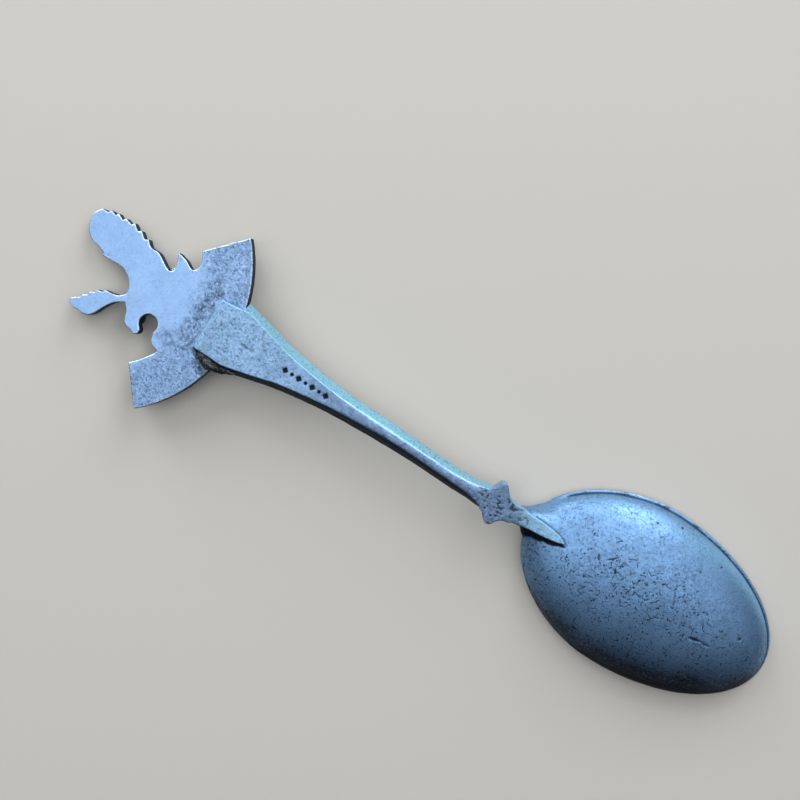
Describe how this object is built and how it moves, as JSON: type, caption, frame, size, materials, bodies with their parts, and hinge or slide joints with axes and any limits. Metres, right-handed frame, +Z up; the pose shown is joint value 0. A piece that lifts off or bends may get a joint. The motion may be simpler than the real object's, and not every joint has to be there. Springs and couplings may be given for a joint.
{
  "type": "souvenir spoon",
  "caption": "Small cast pewter collector's spoon lying face down: egg-shaped bowl, tapering stem with a four-pointed boss, and an eagle on a curved banner as finial.",
  "frame": {"origin": "centre of the bounding box's bottom face, on the surface that the spoon lies on", "axes": "+X from the finial to the tip of the bowl, +Z up, towards the spoon's back, with the spoon lying face down"},
  "size_m": [0.1135, 0.029, 0.007],
  "materials": {
    "bowl_pewter": "aged pewter, satin, pitted and scratched",
    "handle_pewter": "aged pewter, rough as cast on the back, smooth on the flanks",
    "finial_pewter": "aged pewter, light satin, rough as cast on the banner",
    "solder": "rough dark soft solder"
  },
  "bodies": {
    "root": {"bowl": "bowl_pewter", "handle": "handle_pewter", "finial_plate": "finial_pewter", "finial_solder": "solder", "bowl_solder": "solder"}
  },
  "joints": []
}
